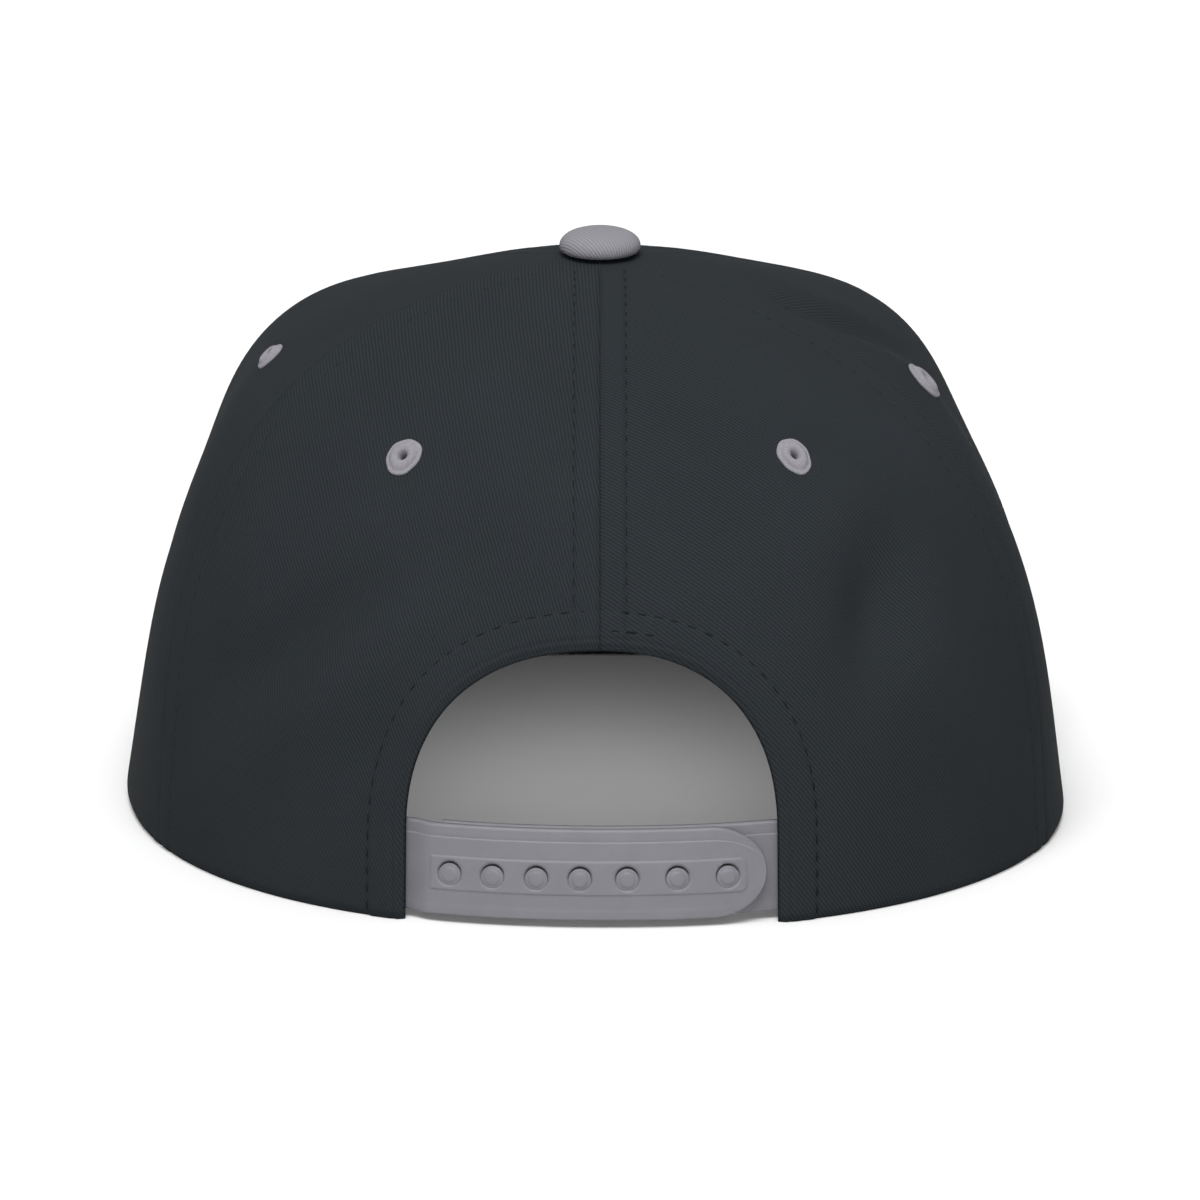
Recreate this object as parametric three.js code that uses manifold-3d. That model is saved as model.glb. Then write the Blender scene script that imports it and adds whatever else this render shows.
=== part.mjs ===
// Snapback cap in millimetres: +Z up, the peak towards -Y, the closure towards +Y.
// Azimuths are in degrees round the crown's axis: 0 is the centre back, positive towards -X,
// the wearer's right.
// Rise runs up the crown's surface, 0 at the rim and 1 at the apex.

import * as THREE from "three";
import { mergeVertices } from "three/addons/utils/BufferGeometryUtils.js";
import Module from "manifold-3d";

// Driving sizes
const CROWN_HEIGHT = 104;
const HALF_WIDTH = 89;
const BACK_DEPTH = 90;
const FRONT_DEPTH = 92;
const PLAN_POWER = 2.15;
const CLOTH = 2;
const GAP = 0.3;
const SIDE_SEAM = 65;
const FRONT_SEAM = 125;

// The crown's upright sections: the share of the plan radius, the inward lean from rim to apex,
// and the squareness of the top and of the wall.
const SECTIONS = [
  { azimuth: -180, plan: 0.99, lean: 0.06, top: 1.75, wall: 3.1 },
  { azimuth: -155, plan: 1.0, lean: 0.07, top: 1.8, wall: 3.0 },
  { azimuth: -125, plan: 1.02, lean: 0.04, top: 2.15, wall: 3.5 },
  { azimuth: -95, plan: 1.01, lean: 0.17, top: 3.5, wall: 3.6 },
  { azimuth: -65, plan: 1.0, lean: 0.05, top: 2.4, wall: 3.2 },
  { azimuth: -32, plan: 1.0, lean: 0.06, top: 2.1, wall: 2.6 },
  { azimuth: 0, plan: 1.0, lean: 0.09, top: 1.9, wall: 2.35 },
  { azimuth: 32, plan: 1.01, lean: 0.06, top: 2.0, wall: 2.7 },
  { azimuth: 65, plan: 1.01, lean: 0.06, top: 1.9, wall: 3.4 },
  { azimuth: 95, plan: 0.98, lean: 0.17, top: 3.2, wall: 3.1 },
  { azimuth: 125, plan: 1.03, lean: 0.04, top: 2.1, wall: 3.4 },
  { azimuth: 155, plan: 1.0, lean: 0.07, top: 1.8, wall: 3.0 },
];

// Each panel lies between two seams and is pressed flat there by a share of the crown's height.
const PANELS = [
  { name: "back_panel_left", from: -SIDE_SEAM, to: 0, flat: 0.012, columns: 24 },
  { name: "back_panel_right", from: 0, to: SIDE_SEAM, flat: 0.012, columns: 24 },
  { name: "side_panel_left", from: -FRONT_SEAM, to: -SIDE_SEAM, flat: 0.005, columns: 10 },
  { name: "side_panel_right", from: SIDE_SEAM, to: FRONT_SEAM, flat: 0.01, columns: 10 },
  { name: "front_panel", from: FRONT_SEAM, to: 360 - FRONT_SEAM, flat: 0, columns: 16 },
];
const PANEL_ROWS = 13;
const RIM_COLUMNS = 10;

// Soft dents: the centre, the depth as a share of the crown's height, the half width in degrees
// and the half height in rise.
const DENTS = [
  { azimuth: -47, rise: 0.36, depth: 0.0115, wide: 9, tall: 0.07 },
  { azimuth: -33, rise: 0.22, depth: -0.008, wide: 8, tall: 0.06 },
  { azimuth: 45, rise: 0.45, depth: 0.015, wide: 8, tall: 0.06 },
  { azimuth: 82, rise: 0.64, depth: 0.014, wide: 12, tall: 0.06 },
];

// The arch cut from the back panels, with a half width for each foot. Its sides stand straight
// up to the waist and close over it as a superellipse.
const ARCH = { height: 48.4, left: 36, right: 32.9, power: 2.35, waist: 16 };

const EYELETS = [
  { name: "eyelet_back_left", azimuth: -34.8, rise: 0.545 },
  { name: "eyelet_back_right", azimuth: 34, rise: 0.545 },
  { name: "eyelet_side_left", azimuth: -80, rise: 0.6 },
  { name: "eyelet_side_right", azimuth: 78, rise: 0.575 },
];
const EYELET = { radius: 3.5, hub: 1.7, hole: 0.75, proud: 0.6, bevel: 0.35, inner: 0.2 };

const BUTTON = { radius: 7.6, dome: 4.8, edge: 1.4, bevel: 0.6, shank: 2.8, drop: 0.6 };
const TOP_OPENING = BUTTON.shank + 1.2;

// Each strap half lies under the panel at one foot of the arch. Its face has a lip along each edge,
// and the outer half a raised strip along its middle.
const STRAP = {
  low: 1.5,
  height: 16.5,
  thick: 1.3,
  lip: 0.3,
  lipWidth: 1.8,
  bevel: 0.3,
  tuck: 11,
  bend: 5.3,
};
const STRIP = { height: 6.4, drop: 0.5, proud: 0.45, bevel: 0.2, start: 4.8, end: 3.8 };
const OUTER = { depth: 1.3, end: 2, round: 10.5 };
const PEG = { radius: 1.4, clearance: 0.7, proud: 0.6, margin: 2.7 };
// The pegs' places as shares of the raised strip's length.
const PEG_SHARES = [0.064, 0.2, 0.338, 0.475, 0.623, 0.78, 0.938];

const BAND = { thick: 1.2, low: 0.8, height: 31.2, clearance: 0.8, inset: 3, settle: 18 };

// The peak's corners lie a spread of degrees to each side of the front.
const PEAK = {
  spread: 70,
  length: 70,
  inset: 2,
  corner: 1.5,
  power: 2.5,
  thick: 3.4,
  lift: 5.5,
  low: 0.4,
  bevel: 0.8,
};

const wasm = await Module();
wasm.setup();

const { clamp, degToRad, radToDeg, smoothstep } = THREE.MathUtils;
const wrap = (azimuth) => ((((azimuth + 180) % 360) + 360) % 360) - 180;
const turnOf = (arc) => radToDeg(arc / BACK_DEPTH);

// Crown surface

// A column of the section table at an azimuth, eased smoothly from row to row all the way round.
function sectionValue(azimuth, column) {
  const count = SECTIONS.length;
  const at = (index) => {
    const turn = Math.floor(index / count);
    const row = SECTIONS[index - turn * count];
    return { x: row.azimuth + 360 * turn, y: row[column] };
  };
  const target = wrap(azimuth);
  let index = count - 1;
  while (SECTIONS[index].azimuth > target) index -= 1;
  const [before, low, high, after] = [-1, 0, 1, 2].map((step) => at(index + step));
  const span = high.x - low.x;
  const share = (target - low.x) / span;
  const slopeLow = ((high.y - before.y) / (high.x - before.x)) * span;
  const slopeHigh = ((after.y - low.y) / (after.x - low.x)) * span;
  const square = share * share;
  const cube = square * share;
  return (
    (2 * cube - 3 * square + 1) * low.y +
    (cube - 2 * square + share) * slopeLow +
    (3 * square - 2 * cube) * high.y +
    (cube - square) * slopeHigh
  );
}

function planRadius(azimuth) {
  const angle = degToRad(azimuth);
  const depth = Math.cos(angle) > 0 ? BACK_DEPTH : FRONT_DEPTH;
  const along = Math.abs(Math.cos(angle) / depth) ** PLAN_POWER;
  const across = Math.abs(Math.sin(angle) / HALF_WIDTH) ** PLAN_POWER;
  return (along + across) ** (-1 / PLAN_POWER);
}

// One upright section as points of radius and height with the rise at each.
function makeSection(azimuth) {
  const steps = 120;
  const radius = planRadius(azimuth) * sectionValue(azimuth, "plan");
  const lean = sectionValue(azimuth, "lean");
  const top = sectionValue(azimuth, "top");
  const wall = sectionValue(azimuth, "wall");
  const points = [];
  let length = 0;
  for (let step = 0; step <= steps; step += 1) {
    const angle = (step / steps) * (Math.PI / 2);
    const height = Math.sin(angle) ** (2 / wall);
    const across = Math.max(Math.cos(angle), 0) ** (2 / top);
    const point = { r: radius * across * (1 - lean * height), z: CROWN_HEIGHT * height };
    if (step > 0) length += Math.hypot(point.r - points[step - 1].r, point.z - points[step - 1].z);
    points.push({ ...point, length });
  }
  return points.map((point) => ({ ...point, rise: point.length / length }));
}

const sections = new Map();
function sectionAt(azimuth) {
  const key = wrap(azimuth).toFixed(4);
  if (!sections.has(key)) sections.set(key, makeSection(azimuth));
  return sections.get(key);
}

// The point of a section at a value of "rise" or "z", with the outward normal of the section.
function alongSection(azimuth, column, value) {
  const points = sectionAt(azimuth);
  let index = 1;
  while (index < points.length - 1 && points[index][column] < value) index += 1;
  const low = points[index - 1];
  const high = points[index];
  const share = clamp((value - low[column]) / (high[column] - low[column]), 0, 1);
  const mix = (key) => low[key] + (high[key] - low[key]) * share;
  const before = points[Math.max(index - 3, 0)];
  const after = points[Math.min(index + 2, points.length - 1)];
  const dr = after.r - before.r;
  const dz = after.z - before.z;
  const size = Math.hypot(dr, dz);
  return { r: mix("r"), z: mix("z"), rise: mix("rise"), normalR: dz / size, normalZ: -dr / size };
}

function panelAt(azimuth) {
  const inside = (panel, angle) => angle >= panel.from && angle <= panel.to;
  return PANELS.find((panel) => inside(panel, azimuth) || inside(panel, azimuth + 360));
}

// How far the cloth is pressed in from the smooth crown.
function pressedDepth(azimuth, rise) {
  const target = wrap(azimuth);
  const panel = panelAt(target);
  const angle = target < panel.from ? target + 360 : target;
  const across = (angle - panel.from) / (panel.to - panel.from);
  const flat = panel.flat * Math.sin(Math.PI * across) * Math.sin(Math.PI * rise);
  const dents = DENTS.map((dent) => {
    const x = (target - dent.azimuth) / dent.wide;
    const y = (rise - dent.rise) / dent.tall;
    return dent.depth * Math.exp(-x * x - y * y);
  });
  return CROWN_HEIGHT * dents.reduce((sum, depth) => sum + depth, flat);
}

// A point at an inward distance from the crown's outer face, found by rise or by height.
function crownPoint(azimuth, column, value, inward = 0) {
  const place = alongSection(azimuth, column, value);
  const depth = inward + pressedDepth(azimuth, place.rise);
  const r = place.r - place.normalR * depth;
  const z = place.z - place.normalZ * depth;
  const angle = degToRad(azimuth);
  return new THREE.Vector3(-Math.sin(angle) * r, Math.cos(angle) * r, z);
}

// The same, but held at a height, so that what stands inside the rim has level edges.
function levelPoint(azimuth, height, inward) {
  const point = crownPoint(azimuth, "z", height, inward);
  point.z = height;
  return point;
}

// A place on the crown's surface with its outward direction.
function facePlace(azimuth, column, value, inward = 0) {
  const step = column === "rise" ? 1 / CROWN_HEIGHT : 1;
  const point = crownPoint(azimuth, column, value, inward);
  const across = crownPoint(azimuth + turnOf(1), column, value, inward).sub(point);
  const up = crownPoint(azimuth, column, value + step, inward).sub(point);
  return { point, outward: across.cross(up).normalize() };
}

// The azimuth and rise of the crown's surface at a height and a distance from the centre plane.
function placeAtWidth(side, width, height) {
  let azimuth = 0;
  for (let step = 0; step < 12; step += 1) {
    const { r } = alongSection(azimuth, "z", height);
    azimuth = side * radToDeg(Math.asin(Math.min(width / r, 1)));
  }
  return { azimuth, rise: alongSection(azimuth, "z", height).rise };
}

// Solids

function makeGeometry(positions, faces) {
  const geometry = new THREE.BufferGeometry();
  geometry.setAttribute("position", new THREE.Float32BufferAttribute(positions, 3));
  geometry.setIndex(faces);
  return geometry;
}

// Closes a grid of outer and inner points, given as columns of equal length, into one shell.
function shellGeometry(outer, inner) {
  const columns = outer.length;
  const rows = outer[0].length;
  const positions = [...outer.flat(), ...inner.flat()].flatMap((point) => point.toArray());
  const out = (column, row) => column * rows + row;
  const ins = (column, row) => (columns + column) * rows + row;
  const faces = [];
  const quad = (a, b, c, d) => faces.push(a, b, c, a, c, d);
  for (let i = 0; i < columns - 1; i += 1) {
    for (let j = 0; j < rows - 1; j += 1) {
      quad(out(i, j), out(i + 1, j), out(i + 1, j + 1), out(i, j + 1));
      quad(ins(i, j), ins(i, j + 1), ins(i + 1, j + 1), ins(i + 1, j));
    }
    quad(out(i, 0), ins(i, 0), ins(i + 1, 0), out(i + 1, 0));
    quad(out(i, rows - 1), out(i + 1, rows - 1), ins(i + 1, rows - 1), ins(i, rows - 1));
  }
  for (let j = 0; j < rows - 1; j += 1) {
    quad(out(0, j), out(0, j + 1), ins(0, j + 1), ins(0, j));
    quad(out(columns - 1, j), ins(columns - 1, j), ins(columns - 1, j + 1), out(columns - 1, j + 1));
  }
  return makeGeometry(positions, faces);
}

// Triangles over a section, turned anticlockwise in its plane of distance from the axis and height.
function capFaces(points) {
  const flat = points.map((point) => new THREE.Vector2(Math.hypot(point.x, point.y), point.z));
  return THREE.ShapeUtils.triangulateShape(flat, []).map(([a, b, c]) => {
    const area = THREE.ShapeUtils.area([flat[a], flat[b], flat[c]]);
    return area > 0 ? [a, b, c] : [a, c, b];
  });
}

// Joins closed sections of equal point count, capping both ends.
function loftGeometry(loops) {
  const size = loops[0].length;
  const faces = [];
  for (let i = 0; i < loops.length - 1; i += 1) {
    for (let j = 0; j < size; j += 1) {
      const next = (j + 1) % size;
      const [a, b] = [i * size + j, i * size + next];
      faces.push(a, b + size, b, a, a + size, b + size);
    }
  }
  const last = (loops.length - 1) * size;
  for (const [a, b, c] of capFaces(loops[0])) faces.push(a, b, c);
  for (const [a, b, c] of capFaces(loops.at(-1))) faces.push(last + a, last + c, last + b);
  return makeGeometry(
    loops.flat().flatMap((point) => point.toArray()),
    faces,
  );
}

// A solid from a closed mesh, its shared points merged and its collapsed triangles left out.
function solidOf(geometry) {
  const merged = mergeVertices(geometry.clone().deleteAttribute("normal").deleteAttribute("uv"), 1e-4);
  const index = Array.from(merged.index.array);
  const faces = [];
  for (let i = 0; i < index.length; i += 3) {
    const face = index.slice(i, i + 3);
    if (new Set(face).size === 3) faces.push(...face);
  }
  const mesh = new wasm.Mesh({
    numProp: 3,
    vertProperties: new Float32Array(merged.attributes.position.array),
    triVerts: new Uint32Array(faces),
  });
  return new wasm.Manifold(mesh);
}

function geometryOf(solid) {
  const mesh = solid.getMesh();
  return makeGeometry(Array.from(mesh.vertProperties), Array.from(mesh.triVerts));
}

// Turns a geometry that stands along +Y to the outward direction of a place and moves it there.
function seat(geometry, { point, outward }) {
  geometry.applyQuaternion(new THREE.Quaternion().setFromUnitVectors(new THREE.Vector3(0, 1, 0), outward));
  return geometry.translate(point.x, point.y, point.z);
}

// A round rod through a place, from one depth below it to one height above it.
function rodAt(place, radius, below, above) {
  const rod = new THREE.CylinderGeometry(radius, radius, above + below, 20);
  rod.translate(0, (above - below) / 2, 0);
  return solidOf(seat(rod, place));
}

// A turned piece from radii and heights; an outline that starts off the axis closes into a ring.
function turned(outline, sides) {
  const closed = outline[0][0] === 0 ? outline : [...outline, outline[0]];
  const points = closed.map(([radius, height]) => new THREE.Vector2(radius, height));
  return geometryOf(solidOf(new THREE.LatheGeometry(points, sides)));
}

// Panels

// Places at even steps of length along a path of places.
function evenPath(path, count) {
  const points = path.map((place) => crownPoint(place.azimuth, "rise", place.rise));
  const lengths = [0];
  for (let i = 1; i < points.length; i += 1) {
    lengths.push(lengths[i - 1] + points[i].distanceTo(points[i - 1]));
  }
  return Array.from({ length: count + 1 }, (_, step) => {
    const target = (step / count) * lengths.at(-1);
    let index = 1;
    while (index < path.length - 1 && lengths[index] < target) index += 1;
    const share = (target - lengths[index - 1]) / (lengths[index] - lengths[index - 1]);
    const mix = (key) => path[index - 1][key] + (path[index][key] - path[index - 1][key]) * share;
    return { azimuth: mix("azimuth"), rise: mix("rise") };
  });
}

// The arch's edge on one side, from the rim up to the centre seam.
function archEdge(side) {
  const half = side < 0 ? ARCH.left : ARCH.right;
  const foot = [0, 1 / 3, 2 / 3].map((share) => placeAtWidth(side, half, ARCH.waist * share));
  const steps = 12;
  const curve = Array.from({ length: steps + 1 }, (_, step) => {
    const angle = (step / steps) * (Math.PI / 2);
    const width = half * Math.max(Math.cos(angle), 0) ** (2 / ARCH.power);
    const height = ARCH.waist + (ARCH.height - ARCH.waist) * Math.sin(angle) ** (2 / ARCH.power);
    return placeAtWidth(side, width, height);
  });
  return [...foot, ...curve];
}

// A panel's lower edge: the rim, or for a back panel the rim and then the arch.
function lowerEdge(panel) {
  const rim = [panel.from, panel.to].map((azimuth) => ({ azimuth, rise: 0 }));
  if (panel.from !== 0 && panel.to !== 0) return evenPath(rim, panel.columns);
  const side = panel.to === 0 ? -1 : 1;
  const arch = archEdge(side);
  const floor = evenPath([{ azimuth: side * SIDE_SEAM, rise: 0 }, arch[0]], RIM_COLUMNS);
  const edge = [...floor, ...evenPath(arch, panel.columns - RIM_COLUMNS).slice(1)];
  return side < 0 ? edge : edge.reverse();
}

// Columns of points from the lower edge up to the opening under the button, clear of both seams.
function panelColumns(panel, inward) {
  return lowerEdge(panel).map((foot, column) => {
    const topAzimuth = panel.from + ((panel.to - panel.from) * column) / panel.columns;
    return Array.from({ length: PANEL_ROWS + 1 }, (_, row) => {
      const up = row / PANEL_ROWS;
      const azimuth = foot.azimuth + (topAzimuth - foot.azimuth) * up;
      const topRise = 1 - TOP_OPENING / sectionAt(azimuth).at(-1).length;
      const rise = foot.rise + (topRise - foot.rise) * up;
      const seam = radToDeg(GAP / 2 / alongSection(azimuth, "rise", rise).r);
      const point = crownPoint(clamp(azimuth, panel.from + seam, panel.to - seam), "rise", rise, inward);
      if (rise === 0) point.z = 0;
      return point;
    });
  });
}

function makePanel(panel) {
  let solid = solidOf(shellGeometry(panelColumns(panel, 0), panelColumns(panel, CLOTH)));
  for (const eyelet of EYELETS.filter(({ azimuth }) => panelAt(azimuth) === panel)) {
    const place = facePlace(eyelet.azimuth, "rise", eyelet.rise);
    solid = solid.subtract(rodAt(place, EYELET.hub + GAP, CLOTH * 3, CLOTH * 3));
  }
  return geometryOf(solid);
}

// Eyelets and button

// A thread ring on the cloth with a hub through it.
function makeEyelet(eyelet) {
  const { radius, hub, hole, proud, bevel, inner } = EYELET;
  const bottom = -CLOTH - GAP - inner;
  const top = GAP + proud;
  const outline = [
    [hole, bottom],
    [hub, bottom],
    [hub, GAP],
    [radius, GAP],
    [radius, top - bevel],
    [radius - bevel, top],
    [hole + bevel, top],
    [hole, top - bevel],
  ];
  return seat(turned(outline, 16), facePlace(eyelet.azimuth, "rise", eyelet.rise));
}

// A dome over the apex with a shank down through the crown.
function makeButton() {
  const { radius, dome, edge, bevel, shank, drop } = BUTTON;
  const steps = 6;
  const outline = [
    [0, -CLOTH - drop],
    [shank, -CLOTH - drop],
    [shank, GAP],
    [radius - bevel, GAP],
    [radius, GAP + bevel],
  ];
  for (let step = 0; step < steps; step += 1) {
    const angle = (step / steps) * (Math.PI / 2);
    outline.push([radius * Math.cos(angle), edge + (dome - edge) * Math.sin(angle)]);
  }
  outline.push([0, dome]);
  return seat(turned(outline, 24), {
    point: new THREE.Vector3(0, 0, CROWN_HEIGHT),
    outward: new THREE.Vector3(0, 0, 1),
  });
}

// Strap

const strapMiddle = STRAP.low + STRAP.height / 2;
const leftFoot = placeAtWidth(-1, ARCH.left, strapMiddle).azimuth;
const rightFoot = placeAtWidth(1, ARCH.right, strapMiddle).azimuth;
const outerEnd = rightFoot - turnOf(OUTER.end);
const stripStart = leftFoot + turnOf(STRIP.start);
const stripEnd = outerEnd - turnOf(STRIP.end);
const stripMiddle = strapMiddle - STRIP.drop;
const pegAzimuths = PEG_SHARES.map((share) => stripStart + (stripEnd - stripStart) * share);
const underEnd = pegAzimuths[0] - turnOf(PEG.margin);

// Depths of the strap's faces under the crown's outer face.
const tuckedDepth = CLOTH + GAP + STRAP.lip;
const underDepth = OUTER.depth + STRAP.thick + GAP + STRAP.lip;

// Heights and outward steps up the strap's face, narrowed alike at the rounded end.
function strapFace(azimuth, half, strip) {
  const share = (2 * half) / STRAP.height;
  const spread = strip > 0 ? 1 : share;
  const [stripLow, stripHigh] = [-1, 1].map((end) => stripMiddle + (end * STRIP.height * spread) / 2);
  const [low, high] = [strapMiddle - half, strapMiddle + half];
  const lip = STRAP.lipWidth * share;
  const bevel = STRAP.bevel * share;
  return [
    [low, STRAP.lip],
    [low + lip, STRAP.lip],
    [low + lip + bevel, 0],
    [stripLow, 0],
    [stripLow + STRIP.bevel * share, strip],
    [stripHigh - STRIP.bevel * share, strip],
    [stripHigh, 0],
    [high - lip - bevel, 0],
    [high - lip, STRAP.lip],
    [high, STRAP.lip],
  ];
}

// Half the strap's height, which shrinks as an ellipse towards a rounded end.
function halfHeightAt(azimuth, roundEnd) {
  const half = STRAP.height / 2;
  if (roundEnd === undefined) return half;
  const left = degToRad(roundEnd - azimuth) * BACK_DEPTH;
  const share = clamp(1 - left / OUTER.round, 0, 0.97);
  return half * Math.sqrt(1 - share * share);
}

// Azimuths along a strap: even steps, both ends of the strip and finer steps into the rounded end.
function strapStations(from, to, roundEnd) {
  const steps = 24;
  const stations = Array.from({ length: steps + 1 }, (_, step) => from + ((to - from) * step) / steps);
  const edge = turnOf(STRIP.bevel);
  if (roundEnd !== undefined) {
    stations.push(stripStart, stripStart + edge, stripEnd - edge, stripEnd);
    for (const share of [0.7, 0.5, 0.35, 0.22, 0.12, 0.05]) {
      stations.push(roundEnd - turnOf(OUTER.round * share));
    }
  }
  return stations.sort((a, b) => a - b);
}

// A strap half lofted round the rear rim; depthAt gives the depth of its face at an azimuth.
function strapSolid({ from, to, depthAt, roundEnd }) {
  const loops = strapStations(from, to, roundEnd).map((azimuth) => {
    const onStrip = roundEnd !== undefined && azimuth > stripStart && azimuth < stripEnd;
    const half = halfHeightAt(azimuth, roundEnd);
    const depth = depthAt(azimuth);
    const face = strapFace(azimuth, half, onStrip ? STRIP.proud : 0);
    const back = [strapMiddle + half, strapMiddle - half].map((height) => [height, -STRAP.thick]);
    return [...face, ...back].map(([height, proud]) => levelPoint(azimuth, height, depth - proud));
  });
  return solidOf(loftGeometry(loops));
}

function pegPlace(azimuth) {
  return facePlace(azimuth, "z", stripMiddle, OUTER.depth);
}

function makeOuterStrap() {
  const bent = (azimuth) => smoothstep(azimuth, leftFoot, leftFoot + turnOf(STRAP.bend));
  let solid = strapSolid({
    from: leftFoot - turnOf(STRAP.tuck),
    to: outerEnd,
    depthAt: (azimuth) => tuckedDepth + (OUTER.depth - tuckedDepth) * bent(azimuth),
    roundEnd: outerEnd,
  });
  const reach = STRAP.thick * 3;
  for (const azimuth of pegAzimuths) {
    solid = solid.subtract(rodAt(pegPlace(azimuth), PEG.radius + PEG.clearance, reach, reach));
  }
  return geometryOf(solid);
}

function makeUnderStrap() {
  const bent = (azimuth) => smoothstep(azimuth, outerEnd, rightFoot + turnOf(STRAP.bend));
  let solid = strapSolid({
    from: underEnd,
    to: rightFoot + turnOf(STRAP.tuck),
    depthAt: (azimuth) => underDepth + (tuckedDepth - underDepth) * bent(azimuth),
  });
  const reach = underDepth - OUTER.depth + STRAP.thick / 2;
  for (const azimuth of pegAzimuths) {
    solid = solid.add(rodAt(pegPlace(azimuth), PEG.radius, reach, PEG.proud));
  }
  return geometryOf(solid);
}

// Sweatband

// It lies close behind the panels and steps inwards over the strap ends.
function makeSweatband() {
  const columns = 40;
  const rows = [0, 0.35, 0.7, 1];
  const from = rightFoot + turnOf(BAND.inset);
  const to = 360 + leftFoot - turnOf(BAND.inset);
  const endDepth = tuckedDepth + STRAP.thick + BAND.clearance;
  const wall = (extra) =>
    Array.from({ length: columns + 1 }, (_, column) => {
      const azimuth = from + ((to - from) * column) / columns;
      const past = Math.min(azimuth - from, to - azimuth);
      const settled = smoothstep(past, turnOf(STRAP.tuck), turnOf(STRAP.tuck + BAND.settle));
      const depth = endDepth + (CLOTH + BAND.clearance - endDepth) * settled;
      return rows.map((share) => levelPoint(azimuth, BAND.low + BAND.height * share, depth + extra));
    });
  return shellGeometry(wall(0), wall(BAND.thick));
}

// Peak

// The peak's outline runs out from the crown's rim; "across" goes from -1 to 1 and "out" from 0 to 1.
function peakPoint(across, out, height) {
  const inner = levelPoint(180 + PEAK.spread * across, PEAK.low, -GAP * 1.5);
  const joint = -levelPoint(180 + PEAK.spread, PEAK.low, 0).y + PEAK.corner;
  const reach = FRONT_DEPTH + PEAK.length - joint;
  const width = HALF_WIDTH - PEAK.inset;
  const angle = (Math.PI / 2) * across;
  const rim = new THREE.Vector3(
    width * Math.sign(across) * Math.abs(Math.sin(angle)) ** (2 / PEAK.power),
    -joint - reach * Math.abs(Math.cos(angle)) ** (2 / PEAK.power),
    0,
  );
  const point = inner.lerp(rim, out);
  const side = point.x / width;
  point.z = PEAK.low + PEAK.lift * (1 - side * side) * (0.25 + 0.75 * out) + height;
  return point;
}

// A slightly arched board with a bevelled outer edge.
function makePeak() {
  const columns = 30;
  const rows = [0, 0.25, 0.5, 0.75, 0.97, 1];
  const sheet = (height, bevel) =>
    Array.from({ length: columns + 1 }, (_, column) => {
      const across = (2 * column) / columns - 1;
      return rows.map((out) => peakPoint(across, out, height + (out === 1 ? bevel : 0)));
    });
  return shellGeometry(sheet(0, PEAK.bevel), sheet(PEAK.thick, -PEAK.bevel));
}

// Assembly

const makeMaterial = (color, roughness) => new THREE.MeshStandardMaterial({ color, roughness, metalness: 0 });
const darkTwill = makeMaterial(0x32383a, 0.95);
const greyTwill = makeMaterial(0x98979c, 0.95);
const greyThread = makeMaterial(0x98979c, 0.85);
const darkTape = makeMaterial(0x2b2f31, 0.95);
const greyPlastic = makeMaterial(0x848388, 0.5);

const cap = new THREE.Group();

function addPiece(name, geometry, material) {
  const mesh = new THREE.Mesh(geometry, material);
  mesh.name = name;
  cap.add(mesh);
}

for (const panel of PANELS) addPiece(panel.name, makePanel(panel), darkTwill);
for (const eyelet of EYELETS) addPiece(eyelet.name, makeEyelet(eyelet), greyThread);
addPiece("button", makeButton(), greyTwill);
addPiece("peak", makePeak(), greyTwill);
addPiece("sweatband", makeSweatband(), darkTape);
addPiece("strap_outer", makeOuterStrap(), greyPlastic);
addPiece("strap_under", makeUnderStrap(), greyPlastic);

// The origin is the bottom centre of the box round the whole cap.
const bounds = new THREE.Box3().setFromObject(cap, true);
const middle = bounds.getCenter(new THREE.Vector3());
cap.position.set(-middle.x, -middle.y, -bounds.min.z);

export default cap;
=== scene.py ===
"""A snapback cap's looks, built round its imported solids. Metres, +Z up, the peak towards -Y."""

import math
import random

import bmesh
import bpy
import numpy as np
from mathutils import Matrix, Vector
from mathutils.bvhtree import BVHTree


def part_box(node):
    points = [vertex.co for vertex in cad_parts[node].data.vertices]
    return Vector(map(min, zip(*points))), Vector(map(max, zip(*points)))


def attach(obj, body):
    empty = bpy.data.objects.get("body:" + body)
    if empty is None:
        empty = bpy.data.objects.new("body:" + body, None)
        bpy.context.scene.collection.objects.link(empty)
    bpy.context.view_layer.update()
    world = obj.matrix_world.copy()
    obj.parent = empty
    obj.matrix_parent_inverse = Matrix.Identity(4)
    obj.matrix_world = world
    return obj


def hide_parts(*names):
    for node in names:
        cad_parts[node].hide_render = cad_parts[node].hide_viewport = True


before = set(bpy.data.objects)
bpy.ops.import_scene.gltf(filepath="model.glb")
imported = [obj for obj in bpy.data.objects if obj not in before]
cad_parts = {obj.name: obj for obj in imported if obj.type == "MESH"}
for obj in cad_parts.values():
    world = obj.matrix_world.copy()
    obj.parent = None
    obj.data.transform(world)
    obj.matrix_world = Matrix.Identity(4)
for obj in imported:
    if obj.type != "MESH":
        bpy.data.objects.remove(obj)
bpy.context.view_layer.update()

MM = 0.001
button_low, button_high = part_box("button")
AXIS = Vector(((button_low.x + button_high.x) / 2, (button_low.y + button_high.y) / 2, 0))

# The crown in millimetres about its own axis, as in the solids. Azimuth 0 is the centre back,
# positive towards -X. Rise goes from 0 at the rim to 1 at the apex.

CROWN_HEIGHT = 104.0
HALF_WIDTH = 89.0
BACK_DEPTH = 90.0
FRONT_DEPTH = 92.0
PLAN_POWER = 2.15
SIDE_SEAM = 65.0
FRONT_SEAM = 125.0
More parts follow.
